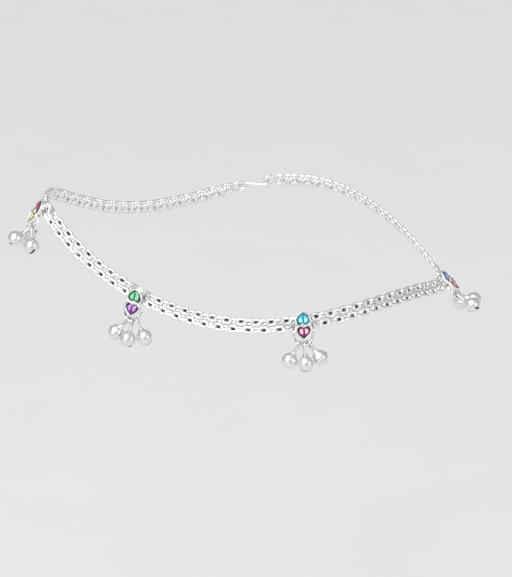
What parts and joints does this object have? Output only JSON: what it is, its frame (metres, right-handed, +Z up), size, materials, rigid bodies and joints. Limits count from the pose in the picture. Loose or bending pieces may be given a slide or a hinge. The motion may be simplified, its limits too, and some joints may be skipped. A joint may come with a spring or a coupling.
{
  "type": "payal anklet (chain anklet with heart charms and small bells)",
  "caption": "Silver payal anklet: a flat two-row chain with enamelled double-heart plates, each carrying a ring of small bells, closed by a plain hook.",
  "frame": {"origin": "middle of the loop, where the ankle passes through", "axes": "+X from the heel to the instep along the loop's length, -Y towards the side with the plates at the middle, +Z up the leg"},
  "size_m": [0.1163, 0.0712, 0.0324],
  "materials": {
    "silver": "polished",
    "enamel_maroon": "gloss",
    "enamel_lime": "gloss",
    "enamel_green": "gloss",
    "enamel_purple": "gloss",
    "enamel_teal": "gloss",
    "enamel_magenta": "gloss",
    "enamel_blue": "gloss",
    "enamel_red": "gloss"
  },
  "bodies": {
    "root": {"chain_length_1": "silver", "chain_length_2": "silver", "chain_length_3": "silver", "chain_length_4": "silver", "chain_length_5": "silver", "clasp_hook": "silver", "heart_plate_1": "silver", "heart_plate_2": "silver", "heart_plate_3": "silver", "heart_plate_4": "silver", "enamel_upper_1": "enamel_maroon", "enamel_lower_1": "enamel_lime", "enamel_upper_2": "enamel_green", "enamel_lower_2": "enamel_purple", "enamel_upper_3": "enamel_teal", "enamel_lower_3": "enamel_magenta", "enamel_upper_4": "enamel_blue", "enamel_lower_4": "enamel_red", "jump_ring_1": "silver", "jump_ring_2": "silver", "jump_ring_3": "silver", "jump_ring_4": "silver", "bell_1_left": "silver", "bell_1_middle": "silver", "bell_1_right": "silver", "bell_2_left": "silver", "bell_2_middle": "silver", "bell_2_right": "silver", "bell_3_left": "silver", "bell_3_middle": "silver", "bell_3_right": "silver", "bell_4_left": "silver", "bell_4_middle": "silver", "bell_4_right": "silver"}
  },
  "joints": []
}
